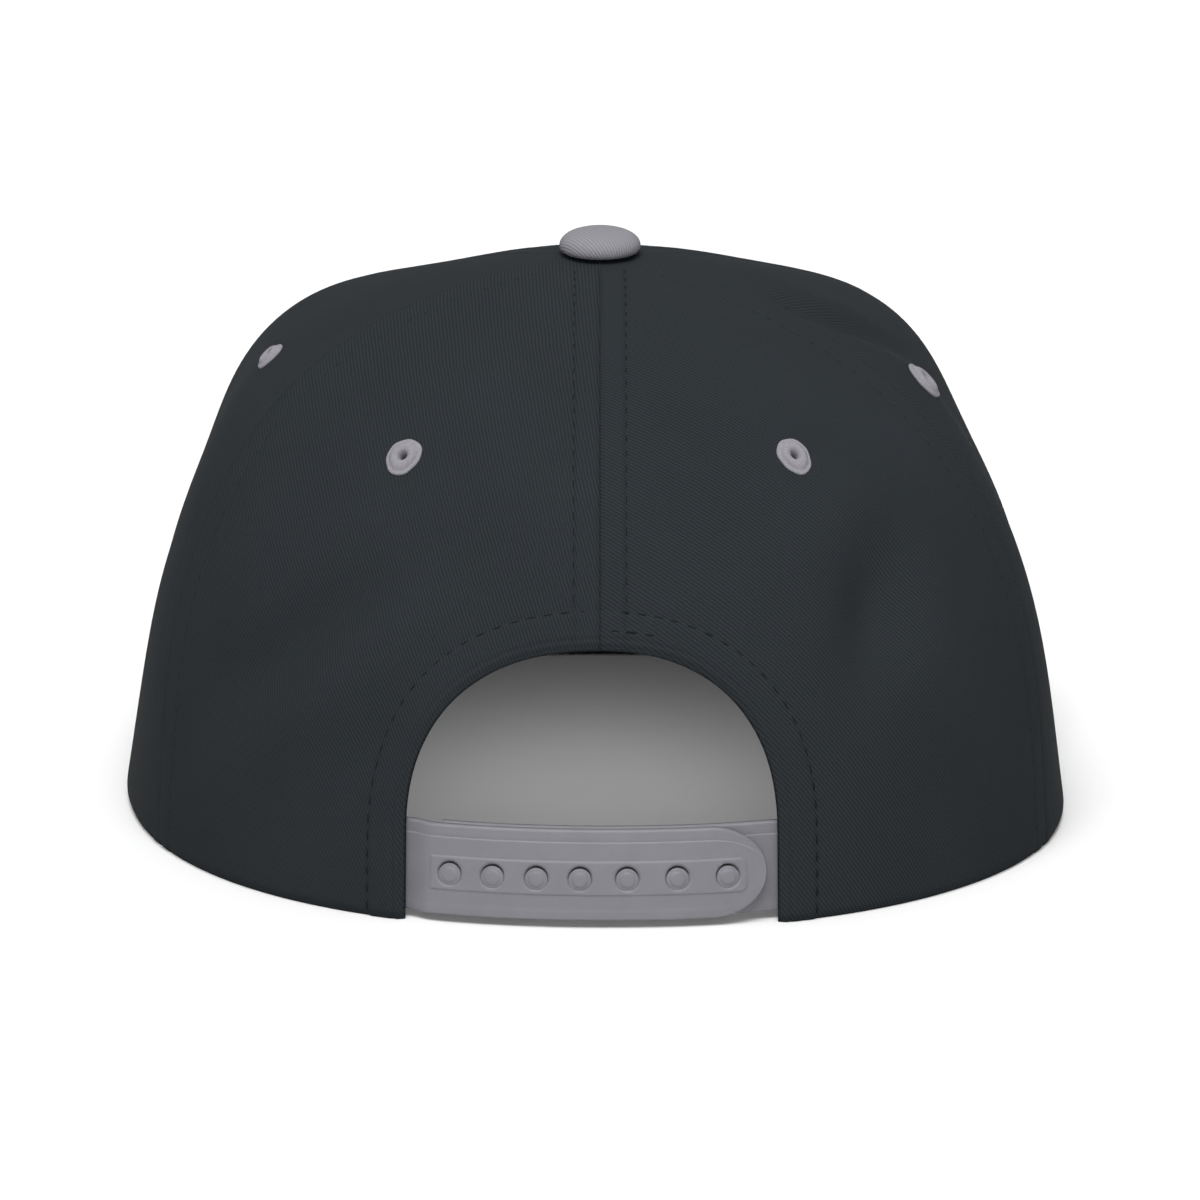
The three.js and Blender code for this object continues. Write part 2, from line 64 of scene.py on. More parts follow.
# Each seam's azimuth and how strongly it shows
SEAMS = {-FRONT_SEAM: 0.5, -SIDE_SEAM: 0.5, 0.0: 1.0, SIDE_SEAM: 0.5, FRONT_SEAM: 0.5}
SEAM_GAP = 0.3
OPEN_SEAM = 0.06
TOP_RADIUS = 4.0
CLOTH = 1.6

PLAN, LEAN, TOP, WALL = 1, 2, 3, 4
SECTIONS = (
    # azimuth, share of the plan radius, inward lean, squareness of the top and of the wall
    (-180, 0.99, 0.06, 1.75, 3.1),
    (-155, 1.0, 0.07, 1.8, 3.0),
    (-125, 1.02, 0.04, 2.15, 3.5),
    (-95, 1.01, 0.17, 3.5, 3.6),
    (-65, 1.0, 0.05, 2.4, 3.2),
    (-32, 1.0, 0.06, 2.1, 2.6),
    (0, 1.0, 0.09, 1.9, 2.35),
    (32, 1.01, 0.06, 2.0, 2.7),
    (65, 1.01, 0.06, 1.9, 3.4),
    (95, 0.98, 0.17, 3.2, 3.1),
    (125, 1.03, 0.04, 2.1, 3.4),
    (155, 1.0, 0.07, 1.8, 3.0),
)

# Each panel's seams, and how far it is pressed flat between them
PANELS = {
    "back_panel_left": (-SIDE_SEAM, 0.0, 1.25),
    "back_panel_right": (0.0, SIDE_SEAM, 1.25),
    "side_panel_left": (-FRONT_SEAM, -SIDE_SEAM, 0.52),
    "side_panel_right": (SIDE_SEAM, FRONT_SEAM, 1.0),
    "front_panel": (FRONT_SEAM, 360 - FRONT_SEAM, 0.0),
}

# Soft folds of the cloth, pressed in where the depth is above nothing and pushed out below it
FOLDS = (
    # azimuth, rise, depth, half length and half width in millimetres, tilt in degrees
    (-43, 0.295, 3.2, 24, 7.5, 41),
    (-36, 0.25, -1.7, 18, 7, 50),
    (-28, 0.2, 1.0, 16, 6, 60),
    (39, 0.35, 4.2, 14, 8.5, 59),
    (42, 0.475, -1.2, 15, 8, 0),
    (80, 0.68, 2.8, 22, 6.5, -38),
    (-112, 0.77, 2.8, 60, 19, 0),
    (-108, 0.39, 1.7, 45, 15, 0),
    (120, 0.77, 2.1, 60, 19, 0),
    (116, 0.41, 3.4, 46, 20, 0),
)

ARCH_HEIGHT = 49.6
ARCH_WAIST = 16.0
ARCH_HALF = {-1: 36.0, 1: 32.9}
ARCH_POWER = 2.35

MEAN_LENGTH = 150.0  # of the sections, from the rim to the apex
TRIES = 12  # enough for an angle to settle on a width

STITCH_PITCH = 3.2
STITCH_LENGTH = 2.4
STITCH_RADIUS = 0.25
STITCH_SINK = 0.14
HEM_PROUD = 0.04
TACK_PROUD = 0.34
SEAM_ROW = 4.8
HEM_ROW = 7.0
TACK_ROW = 3.4
TACK_REACH = 8.0
ROW_START = 0.02  # rise at which a seam's rows begin, and above the arch
ROW_START_OVER_ARCH = 0.37

SEAM_RAISE = 0.22
SEAM_GROOVE = 0.42
SEAM_GROOVE_WIDTH = 0.6
HEM_RAISE = 0.35
HEM_ROLL = 0.75
HEM_ROLL_WIDTH = 0.9
HEM_GROOVE = 0.22
HEM_GROOVE_ROW = 1.9
HEM_GROOVE_WIDTH = 0.35
ROW_GROOVE = 0.24
ROW_GROOVE_WIDTH = 0.45
RIM_ROLL = 0.8
PUCKER = 0.05
PUCKER_WIDTH = 1.1


def smooth(value, low, high):
    """Eases from 0 at low to 1 at high."""
    share = np.clip((value - low) / (high - low), 0, 1)
    return share * share * (3 - 2 * share)


def bump_at(value, centre, width):
    """A bell of height 1 at a centre."""
    return np.exp(-(((value - centre) / width) ** 2))


def wrapped(azimuth):
    return (azimuth + 180) % 360 - 180


def section_value(azimuth, column):
    """A column of the section table, eased from row to row all the way round."""
    rows = np.array(SECTIONS, float)
    x = np.concatenate([rows[-2:, 0] - 360, rows[:, 0], rows[:3, 0] + 360])
    y = np.concatenate([rows[-2:, column], rows[:, column], rows[:3, column]])
    slope = np.zeros_like(y)
    slope[1:-1] = (y[2:] - y[:-2]) / (x[2:] - x[:-2])
    target = wrapped(azimuth)
    low = np.searchsorted(x, target, side="right") - 1
    span = x[low + 1] - x[low]
    t = (target - x[low]) / span
    return (
        (2 * t**3 - 3 * t**2 + 1) * y[low]
        + (t**3 - 2 * t**2 + t) * slope[low] * span
        + (3 * t**2 - 2 * t**3) * y[low + 1]
        + (t**3 - t**2) * slope[low + 1] * span
    )


def plan_radius(azimuth):
    angle = np.radians(azimuth)
    depth = np.where(np.cos(angle) > 0, BACK_DEPTH, FRONT_DEPTH)
    along = np.abs(np.cos(angle) / depth) ** PLAN_POWER
    across = np.abs(np.sin(angle) / HALF_WIDTH) ** PLAN_POWER
    return (along + across) ** (-1 / PLAN_POWER)


def meridian(azimuth, angle):
    """Radius and height of the smooth crown at an angle up its section, from 0 to a quarter turn."""
    height = np.sin(angle) ** (2 / section_value(azimuth, WALL))
    across = np.abs(np.cos(angle)) ** (2 / section_value(azimuth, TOP))
    radius = plan_radius(azimuth) * section_value(azimuth, PLAN)
    lean = section_value(azimuth, LEAN)
    return radius * across * (1 - lean * height), CROWN_HEIGHT * height


def rise_table():
    """The section angle at each whole degree and even step of rise, and each section's length."""
    azimuths = np.arange(-180.0, 181.0)[:, None]
    angles = np.sin(np.linspace(0, math.pi / 2, 401)) ** 2 * math.pi / 2
    r, z = meridian(azimuths, angles[None, :])
    steps = np.hypot(np.diff(r, axis=1), np.diff(z, axis=1))
    length = np.concatenate([np.zeros((len(azimuths), 1)), np.cumsum(steps, axis=1)], axis=1)
    rises = np.linspace(0, 1, 501)
    table = np.array([np.interp(rises, row / row[-1], angles) for row in length])
    return table, length[:, -1]


ANGLE_TABLE, SECTION_LENGTH = rise_table()


def section_angle(azimuth, rise):
    """The angle up the section at a rise, read between the table's rows and columns."""
    across = wrapped(azimuth) + 180
    up = np.clip(rise, 0, 1) * (ANGLE_TABLE.shape[1] - 1)
    i = np.clip(across.astype(int), 0, ANGLE_TABLE.shape[0] - 2)
    j = np.clip(up.astype(int), 0, ANGLE_TABLE.shape[1] - 2)
    s, t = across - i, up - j
    low = ANGLE_TABLE[i, j] * (1 - s) + ANGLE_TABLE[i + 1, j] * s
    high = ANGLE_TABLE[i, j + 1] * (1 - s) + ANGLE_TABLE[i + 1, j + 1] * s
    return low * (1 - t) + high * t


def length_at(azimuth):
    return np.interp(wrapped(azimuth), np.arange(-180.0, 181.0), SECTION_LENGTH)


def angle_at_height(azimuth, height):
    share = np.clip(height / CROWN_HEIGHT, 0, 1)
    return np.arcsin(share ** (section_value(azimuth, WALL) / 2))


def rise_at_height(azimuth, height):
    """The rise whose section angle is that of a height."""
    target = angle_at_height(azimuth, height)
    low, high = np.zeros_like(target), np.ones_like(target)
    for _ in range(30):
        middle = (low + high) / 2
        above = section_angle(azimuth, middle) > target
        high = np.where(above, middle, high)
        low = np.where(above, low, middle)
    return (low + high) / 2


def pressed(azimuth, rise):
    """How far the cloth is pressed in from the smooth crown."""
    target = wrapped(azimuth)
    depth = np.zeros_like(target)
    for start, end, flat in PANELS.values():
        across = (np.where(target < start, target + 360, target) - start) / (end - start)
        inside = (across >= 0) & (across <= 1)
        press = flat * np.sin(math.pi * across) * np.sin(math.pi * np.clip(rise, 0, 1))
        depth += np.where(inside, press, 0)
    for centre, level, deep, long, wide, tilt in FOLDS:
        right = np.radians(target - centre) * HALF_WIDTH
        up = (rise - level) * MEAN_LENGTH
        turn = math.radians(tilt)
        along = right * math.cos(turn) + up * math.sin(turn)
        across = up * math.cos(turn) - right * math.sin(turn)
        depth += deep * bump_at(along, 0, long) * bump_at(across, 0, wide)
    return depth


def crown_points(azimuth, rise, inward=0.0):
    """Places on the crown at an inward distance from its outer face, pressed by its dents."""
    angle = section_angle(azimuth, rise)
    r, z = meridian(azimuth, angle)
    step = 2e-3
    r_low, z_low = meridian(azimuth, np.clip(angle - step, 1e-6, math.pi / 2 - 1e-6))
    r_high, z_high = meridian(azimuth, np.clip(angle + step, 1e-6, math.pi / 2 - 1e-6))
    size = np.hypot(r_high - r_low, z_high - z_low)
    depth = pressed(azimuth, rise) + inward
    r = r - (z_high - z_low) / size * depth
    z = z + (r_high - r_low) / size * depth
    turn = np.radians(azimuth)
    return np.stack([-np.sin(turn) * r, np.cos(turn) * r, np.maximum(z, 0)], axis=-1)


def crown_radius(azimuth, rise):
    return meridian(azimuth, section_angle(azimuth, rise))[0]


def crown_places(azimuth, rise, inward=0.0):
    """Points on the crown with unit vectors across, up and out of the cloth."""
    azimuth, rise = np.asarray(azimuth, float), np.asarray(rise, float)
    turn = np.degrees(1 / np.maximum(crown_radius(azimuth, rise), 4))
    lift = 1 / length_at(azimuth)
    point = crown_points(azimuth, rise, inward)
    across = crown_points(azimuth + turn, rise, inward) - crown_points(azimuth - turn, rise, inward)
    up = crown_points(azimuth, rise + lift, inward) - crown_points(azimuth, rise - lift, inward)
    out = np.cross(across, up)
    return point, unit(across), unit(up), unit(out)


def unit(vectors):
    return vectors / np.linalg.norm(vectors, axis=-1, keepdims=True)


def arch_path(side, count=240):
    """Azimuth and rise along one side of the arch's edge, from the rim to the centre seam."""
    half = ARCH_HALF[side]
    angle = np.linspace(0, math.pi / 2, count)
    width = half * np.abs(np.cos(angle)) ** (2 / ARCH_POWER)
    height = ARCH_WAIST + (ARCH_HEIGHT - ARCH_WAIST) * np.sin(angle) ** (2 / ARCH_POWER)
    width = np.concatenate([np.full(20, half), width])
    height = np.concatenate([np.linspace(0, ARCH_WAIST, 20, endpoint=False), height])
    azimuth = np.zeros_like(width)
    for _ in range(TRIES):
        radius = meridian(azimuth, angle_at_height(azimuth, height))[0]
        azimuth = side * np.degrees(np.arcsin(np.clip(width / radius, 0, 1)))
    return azimuth, rise_at_height(azimuth, height)


def even_path(azimuth, rise, shares):
    """Places at shares of a path's length."""
    points = crown_points(azimuth, rise)
    steps = np.linalg.norm(np.diff(points, axis=0), axis=1)
    length = np.concatenate([[0], np.cumsum(steps)])
    target = np.asarray(shares) * length[-1]
    return np.interp(target, length, azimuth), np.interp(target, length, rise)


def edge_distance(azimuth, rise):
    """Distance from the arch's edge in millimetres, and how far along the edge that is."""
    points = crown_points(azimuth, rise)
    best = np.full(len(points), 1e3)
    along = np.zeros(len(points))
    for side in (-1, 1):
        edge = crown_points(*even_path(*arch_path(side), np.linspace(0, 1, 160)))
        steps = np.concatenate([[0], np.cumsum(np.linalg.norm(np.diff(edge, axis=0), axis=1))])
        for place, step in zip(edge, steps):
            away = np.linalg.norm(points - place, axis=1)
            nearer = away < best
            best = np.where(nearer, away, best)
            along = np.where(nearer, step, along)
    return best, along


# Relief of the cloth: seams, hems and the puckers of their stitches

def puckers(along, row_distance):
    """Small waves of the cloth that each stitch draws in."""
    return PUCKER * np.cos(2 * math.pi * along / STITCH_PITCH) * bump_at(row_distance, 0, PUCKER_WIDTH)


def seam_relief(azimuth, rise):
    """Each seam is pulled in between two stitched rows, over the turned-back allowances."""
    radius = crown_radius(azimuth, rise)
    relief = np.zeros_like(radius)
    for seam, share in SEAMS.items():
        away = np.radians(np.abs(wrapped(azimuth - seam))) * radius
        relief += share * SEAM_RAISE * (1 - smooth(away, SEAM_ROW - 0.6, SEAM_ROW + 0.6))
        relief -= share * SEAM_GROOVE * bump_at(away, 0, SEAM_GROOVE_WIDTH)
        relief -= share * ROW_GROOVE * bump_at(away, SEAM_ROW, ROW_GROOVE_WIDTH)
        relief += share * puckers(rise * length_at(azimuth), away - SEAM_ROW)
    return relief * smooth(radius, 6, 12)


def hem_relief(azimuth, rise):
    """The arch's edge is rolled and creased, a turned hem stitched down along its far side."""
    relief = np.zeros_like(azimuth)
    near = (np.abs(azimuth) < 45) & (rise < 0.6)
    away, along = edge_distance(azimuth[near], rise[near])
    hem = HEM_RAISE * (1 - smooth(away, HEM_ROW - 0.5, HEM_ROW + 0.7))
    hem -= HEM_ROLL * bump_at(away, 0, HEM_ROLL_WIDTH)
    groove = HEM_GROOVE * bump_at(away, HEM_GROOVE_ROW, HEM_GROOVE_WIDTH)
    hem -= ROW_GROOVE * bump_at(away, HEM_ROW, ROW_GROOVE_WIDTH) + groove
    relief[near] = hem + puckers(along, away - HEM_ROW)
    return relief


def rim_relief(azimuth, rise):
    """The rim is rolled under."""
    return -RIM_ROLL * bump_at(rise * length_at(azimuth), 0, HEM_ROLL_WIDTH)


# Mesh helpers. A piece starts as a flat pattern, gets its back and edges there, and is then
# laid on its form.

def flat_pattern(columns, rows, place):
    """A sheet of quads whose points lie where place puts each whole column and row."""
    bm = bmesh.new()
    bmesh.ops.create_grid(bm, x_segments=columns, y_segments=rows, size=1)
    spots = np.array([vert.co for vert in bm.verts])
    column = np.rint((spots[:, 0] + 1) / 2 * columns).astype(int)
    row = np.rint((spots[:, 1] + 1) / 2 * rows).astype(int)
    x, y = place(column, row)
    for vert, right, up in zip(bm.verts, x, y):
        vert.co = (right, up, 0)
    return bm


def close_back(bm):
    """Gives the flat sheet a second face under it and walls along its edges."""
    made = bmesh.ops.extrude_face_region(bm, geom=bm.faces[:], use_keep_orig=True)["geom"]
    lower = [item for item in made if isinstance(item, bmesh.types.BMVert)]
    bmesh.ops.translate(bm, verts=lower, vec=(0, 0, -1))
    bmesh.ops.recalc_face_normals(bm, faces=bm.faces)


def lay(bm, form, grain=None):
    """Moves the pattern's points to a form in millimetres about the crown's axis."""
    spots = np.array([vert.co for vert in bm.verts], float)
    points = form(spots[:, 0], spots[:, 1], spots[:, 2] < -0.5)
    weave = grain(spots[:, 0], spots[:, 1]) * MM if grain else None
    for vert, point in zip(bm.verts, points):
        vert.co = AXIS + Vector(point) * MM
    if grain is None:
        return
    bm.verts.index_update()
    layer = bm.loops.layers.uv.new("grain")
    for face in bm.faces:
        for loop in face.loops:
            loop[layer].uv = weave[loop.vert.index]


def finished(bm, name, material):
    """A smooth-shaded object from a bmesh in metres about the row's origin."""
    mesh = bpy.data.meshes.new(name)
    bm.to_mesh(mesh)
    bm.free()
    mesh.polygons.foreach_set("use_smooth", [True] * len(mesh.polygons))
    mesh.materials.append(material)
    piece = bpy.data.objects.new(name, mesh)
    bpy.context.scene.collection.objects.link(piece)
    return piece


def piece_of(bm, name, material, slot, *nodes):
    """Finishes a piece, seats it on the one body and hides the solids that it stands for."""
    piece = finished(bm, name, material)
    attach(piece, "root")
    if nodes:
        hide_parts(*nodes)


def join(bm, other):
    mesh = bpy.data.meshes.new("joined")
    other.to_mesh(mesh)
    other.free()
    bm.from_mesh(mesh)
    bpy.data.meshes.remove(mesh)


def rounded(distance, radius):
    """How far a round edge falls away at a distance from it."""
    share = 1 - np.clip(distance / radius, 0, 1)
    return radius * (1 - np.sqrt(1 - share * share))


# Materials

def linear(code):
    """An sRGB hex code as a linear colour."""
    parts = [int(code[i : i + 2], 16) / 255 for i in (1, 3, 5)]
    return [p / 12.92 if p <= 0.04045 else ((p + 0.055) / 1.055) ** 2.4 for p in parts] + [1]


def add_node(tree, kind, settings, inputs, feeds=None):
    """Adds a node with its settings, fills or links its inputs, and feeds a socket if one is given."""
    node = tree.nodes.new(kind)
    for key, value in settings.items():
        setattr(node, key, value)
    for key, value in inputs.items():
        if isinstance(value, bpy.types.Node):
            value = value.outputs[0]
        if isinstance(value, bpy.types.NodeSocket):
            tree.links.new(value, node.inputs[key])
        else:
            node.inputs[key].default_value = value
    if feeds:
        output = next(socket for socket in node.outputs if socket.enabled)
        tree.links.new(output, feeds)
    return node


def new_material(name, shader):
    """A material with one Principled shader, and its tree."""
    material = bpy.data.materials.new(name)
    material.use_nodes = True
    tree = material.node_tree
    tree.nodes.clear()
    body = add_node(tree, "ShaderNodeBsdfPrincipled", {}, shader)
    add_node(tree, "ShaderNodeOutputMaterial", {}, {"Surface": body})
    return material, tree, body


# The cloth's ribs stand about 0.6 mm apart and show as they are. Fibres and grit are really much
# finer, and are drawn about 0.4 mm wide so that they show.
TWILL_PITCH = 0.63
TWILL_TURN = math.radians(33)
BAND_PERIOD = math.pi / 10  # of a Wave texture at scale 1
FUZZ_SCALE = 2600.0
FILAMENT_SCALE = 2500.0
GRIT_SCALE = 3500.0


def cotton_twill(name, dark, light, pitch=TWILL_PITCH, height=0.05, wander=2.3):
    """Woven cotton twill, dyed through: matt and soft, with fine slanting ribs that catch the light."""
    material, tree, body = new_material(name, {"Roughness": 0.92, "Specular IOR Level": 0.07})
    grain = add_node(tree, "ShaderNodeUVMap", {"uv_map": "grain"}, {})
    turned = add_node(tree, "ShaderNodeMapping", {}, {"Vector": grain, "Rotation": (0, 0, -TWILL_TURN)})
    ribs = add_node(
        tree,
        "ShaderNodeTexWave",
        {"bands_direction": "X"},
        {"Vector": turned, "Scale": BAND_PERIOD / (pitch * MM), "Distortion": wander, "Detail": 2.0,
         "Detail Scale": 0.35, "Detail Roughness": 0.6},
    ).outputs["Fac"]
    fibres = add_node(tree, "ShaderNodeTexNoise", {}, {"Vector": grain, "Scale": FUZZ_SCALE, "Detail": 3.0})
    cloud = add_node(tree, "ShaderNodeTexNoise", {}, {"Vector": grain, "Scale": 40.0, "Detail": 4.0})
    fuzz = add_node(tree, "ShaderNodeMath", {"operation": "MULTIPLY"}, {0: fibres, 1: 0.4})
    weave = add_node(tree, "ShaderNodeMath", {"operation": "MULTIPLY_ADD"}, {0: ribs, 1: 0.5, 2: fuzz})
    tone = add_node(tree, "ShaderNodeMath", {"operation": "MULTIPLY_ADD"}, {0: cloud, 1: 0.25, 2: weave})
    add_node(
        tree,
        "ShaderNodeMix",
        {"data_type": "RGBA"},
        {0: tone, 6: linear(dark), 7: linear(light)},
        body.inputs["Base Color"],
    )
    add_node(tree, "ShaderNodeBump", {}, {"Distance": height * MM, "Height": weave}, body.inputs["Normal"])
    return material


def spun_thread(name, dark, light):
    """Polyester thread: smooth filaments laid side by side, with a satin gleam."""
    material, tree, body = new_material(name, {"Roughness": 0.75, "Specular IOR Level": 0.08})
    place = add_node(tree, "ShaderNodeTexCoord", {}, {}).outputs["Object"]
    strands = {"Vector": place, "Scale": FILAMENT_SCALE, "Detail": 3.0}
    fibres = add_node(tree, "ShaderNodeTexNoise", {}, strands)
    add_node(
        tree,
        "ShaderNodeMix",
        {"data_type": "RGBA"},
        {0: fibres, 6: linear(dark), 7: linear(light)},
        body.inputs["Base Color"],
    )
    add_node(
        tree,
        "ShaderNodeBump",
        {},
        {"Strength": 0.6, "Distance": 0.03 * MM, "Height": fibres},
        body.inputs["Normal"],
    )
    return material


def moulded_plastic(name, dark, light):
    """Injection-moulded polyethylene: slightly waxy and see-through, with a fine satin grain."""
    material, tree, body = new_material(
        name,
        {"Roughness": 0.5, "IOR": 1.5, "Specular IOR Level": 0.3, "Subsurface Weight": 0.15,
         "Subsurface Radius": (1, 1, 1), "Subsurface Scale": 1.2 * MM},
    )
    place = add_node(tree, "ShaderNodeTexCoord", {}, {}).outputs["Object"]
    mottle = add_node(tree, "ShaderNodeTexNoise", {}, {"Vector": place, "Scale": 220.0, "Detail": 4.0})
    add_node(
        tree,
        "ShaderNodeMix",
        {"data_type": "RGBA"},
        {0: mottle, 6: linear(dark), 7: linear(light)},
        body.inputs["Base Color"],
    )
    grit = add_node(tree, "ShaderNodeTexNoise", {}, {"Vector": place, "Scale": GRIT_SCALE, "Detail": 2.0})
    add_node(
        tree,
        "ShaderNodeBump",
        {},
        {"Strength": 0.4, "Distance": 0.02 * MM, "Height": grit},
        body.inputs["Normal"],
    )
    return material


DARK_TWILL = cotton_twill("dark cotton twill", "#15181A", "#282C2F")
GREY_TWILL = cotton_twill("grey cotton twill", "#636267", "#7D7C81")
BUTTON_TWILL = cotton_twill("grey twill stretched over the button", "#626166", "#808085", 0.62, 0.1, 0.5)
# The dark thread is partly its own dark dye and partly painted shade: it is drawn nearly black, darker than
# the cloth, to stand in for the shadowed needle pits along the stitched rows.
DARK_THREAD_AND_PAINTED_PIT_SHADE = spun_thread("dark sewing thread and painted pit shade", "#0A0C0D", "#15191B")
GREY_THREAD = spun_thread("grey embroidery thread", "#6B6A6F", "#868489")
BAND_TAPE = cotton_twill("dark band cotton", "#15191B", "#23282B", 0.5, 0.04)
PLASTIC = moulded_plastic("grey moulded plastic", "#66656A", "#6F6E73")


# Crown panels

def eased(count, pull):
    """Even shares drawn towards both ends."""
    shares = np.linspace(0, 1, count + 1)
    return shares - pull / (2 * math.pi) * np.sin(2 * math.pi * shares)


def top_rise(azimuth):
    return 1 - TOP_RADIUS / length_at(azimuth)


def panel_paths(start, end, columns):
    """Azimuth and rise of a panel's two long edges, column by column.

    A side or front panel runs from the rim to the top. A back panel fans out from the arch to
    the ridge seam and the top, so that its rim and its centre seam are its short edges.
    """
    shares = eased(columns, 0.7)
    if start != 0 and end != 0:
        azimuth = start + (end - start) * shares
        return (azimuth, np.zeros(columns + 1)), (azimuth, top_rise(azimuth))
    side = -1 if end == 0 else 1
    foot = even_path(*arch_path(side), eased(columns, 0.45))
    corner = 0.52  # share of the path up the ridge seam, before it turns along the top
    along = eased(columns, 0.45)
    azimuth = side * SIDE_SEAM * (1 - np.clip((along - corner) / (1 - corner), 0, 1))
    rise = top_rise(azimuth) * np.clip(along / corner, 0, 1)
    if side < 0:
        return foot, (azimuth, rise)
    return (foot[0][::-1], foot[1][::-1]), (azimuth[::-1], rise[::-1])


def cut_grain(azimuth, rise, middle):
    """The panel's cloth unrolled flat about the apex, in millimetres."""
    radius = crown_radius(azimuth, rise)
    reach = np.maximum((1 - rise) * length_at(np.full(1, middle)), 1)
    turn = np.radians(azimuth - middle) * radius / reach
    return np.stack([reach * np.sin(turn), -reach * np.cos(turn)], axis=1)


def open_under_eyelets(bm):
    """Leaves the cloth open under each eyelet's ring."""
    reach = 1.4
    spots = np.array([face.calc_center_median()[:2] for face in bm.faces])
    points = crown_points(spots[:, 0], spots[:, 1])
    near = np.zeros(len(points), bool)
    for azimuth, rise, _, _ in EYELETS.values():
        centre = crown_points(np.array([float(azimuth)]), np.array([rise]))
        near |= np.linalg.norm(points - centre, axis=1) < reach
    bm.faces.ensure_lookup_table()
    bmesh.ops.delete(bm, geom=[bm.faces[i] for i in np.flatnonzero(near)], context="FACES")


def make_panel(name, columns, rows):
    """A cloth panel between two seams, with its relief and the grain of its own straight cut."""
    start, end, _ = PANELS[name]
    foot, head = panel_paths(start, end, columns)
    shares = eased(rows, 0.6)

    def place(column, row):
        azimuth, rise = [
            low[column] + (high[column] - low[column]) * shares[row] for low, high in zip(foot, head)
        ]
        gap = np.degrees(OPEN_SEAM / 2 / crown_radius(azimuth, rise))
        return np.clip(azimuth, start + gap, end - gap), rise

    def form(azimuth, rise, inner):
        relief = seam_relief(azimuth, rise) + rim_relief(azimuth, rise)
        if name.startswith("back"):
            relief += hem_relief(azimuth, rise)
        return crown_points(azimuth, rise, np.where(inner, CLOTH, -relief))

    bm = flat_pattern(columns, rows, place)
    open_under_eyelets(bm)
    close_back(bm)
    middle = (start + end) / 2
    lay(bm, form, lambda azimuth, rise: cut_grain(azimuth, rise, middle))
    piece_of(bm, name + "_cloth", DARK_TWILL, "dark_twill", name)


# Stitches

def even_places(points, pitch):
    """Middles, and the steps that they stand in, at even lengths along a path."""
    length = np.concatenate([[0], np.cumsum(np.linalg.norm(np.diff(points, axis=0), axis=1))])
    count = max(int(length[-1] / pitch), 1)
    ends = [np.interp(np.arange(count + 1) * pitch, length, points[:, i]) for i in range(3)]
    ends = np.stack(ends, axis=1)
    return (ends[1:] + ends[:-1]) / 2, ends[1:] - ends[:-1]


def thread_grain():
    """One stitch: a plump grain of thread, one unit long to each side."""
    bm = bmesh.new()
    bmesh.ops.create_uvsphere(bm, u_segments=6, v_segments=4, radius=1)
    mesh = bpy.data.meshes.new("stitch")
    bm.to_mesh(mesh)
    bm.free()
    return mesh


STITCH = thread_grain()


def sew(bm, points, outs):
    """Lays a row of short thread stitches along a path on the cloth, a little sunk in it."""
    middles, steps = even_places(points, STITCH_PITCH)
    for middle, step in zip(middles, steps):
        out = outs[np.argmin(np.linalg.norm(points - middle, axis=1))]
        along = unit(step)
        side = unit(np.cross(out, along))
        up = np.cross(along, side)
        size = Matrix.Diagonal((STITCH_LENGTH / 2 * MM, STITCH_RADIUS * MM, STITCH_RADIUS * MM, 1))
        turn = Matrix([along, side, up]).transposed().to_4x4()
        seat = Matrix.Translation(AXIS + Vector(middle - out * STITCH_RADIUS * 0.5) * MM)
        laid = STITCH.copy()
        laid.transform(seat @ turn @ size)
        bm.from_mesh(laid)
        bpy.data.meshes.remove(laid)


def sew_on_crown(bm, azimuth, rise, sink=STITCH_SINK):
    """Sews along a path on the crown, sunk in by a distance or proud where that is below nothing."""
    point, _, _, out = crown_places(azimuth, rise, sink)
    sew(bm, point, out)


def seam_rows(seam, low):
    """The two stitched rows beside a seam, from a rise to near the button."""
    rise = np.linspace(low, 1 - 9 / SECTION_LENGTH.mean(), 200)
    for side in (-1, 1):
        azimuth = np.full(200, float(seam))
        for _ in range(4):
            azimuth = seam + side * np.degrees(SEAM_ROW / crown_radius(azimuth, rise))
        yield azimuth, rise


def beside_arch(side, away):
    """A path on the crown at a distance from the arch's edge."""
    azimuth, rise = even_path(*arch_path(side), np.linspace(0, 1, 120))
    radius, length = crown_radius(azimuth, rise), length_at(azimuth)
    across = np.gradient(np.radians(azimuth) * radius)
    up = np.gradient(rise * length)
    size = np.hypot(across, up)
    azimuth = azimuth + side * np.degrees(away * up / size / radius)
    return azimuth, np.clip(rise - side * away * across / size / length, 0.004, 1)


def make_crown_stitches():
    """Two rows beside each seam, one round the arch's hem and a short tack over the centre."""
    bm = bmesh.new()
    for seam in SEAMS:
        for row in seam_rows(seam, ROW_START_OVER_ARCH if seam == 0 else ROW_START):
            sew_on_crown(bm, *row)
    for side in (-1, 1):
        path = beside_arch(side, HEM_ROW)
        sew_on_crown(bm, *path, -HEM_PROUD - seam_relief(*path))
    azimuth, rise = beside_arch(1, TACK_ROW)
    near = azimuth < TACK_REACH
    path = azimuth[near], rise[near]
    sew_on_crown(bm, *path, -TACK_PROUD - seam_relief(*path))
    # The crown's rows use the near-black thread, whose colour carries painted shade of the needle pits.
    piece_of(bm, "crown_stitches", DARK_THREAD_AND_PAINTED_PIT_SHADE, "dark_twill")


# Eyelets

EYELET_BORE = 0.62
EYELET_SHANK = -2.2
STRANDS = 46
EYELETS = {
    # azimuth, rise, and how far the ring is drawn out across and up
    "eyelet_back_left": (-34.8, 0.552, 0.95, 1.05),
    "eyelet_back_right": (34.3, 0.555, 0.9, 1.08),
    "eyelet_side_left": (-80.5, 0.583, 0.8, 0.82),
    "eyelet_side_right": (77.5, 0.57, 1.25, 1.1),
}


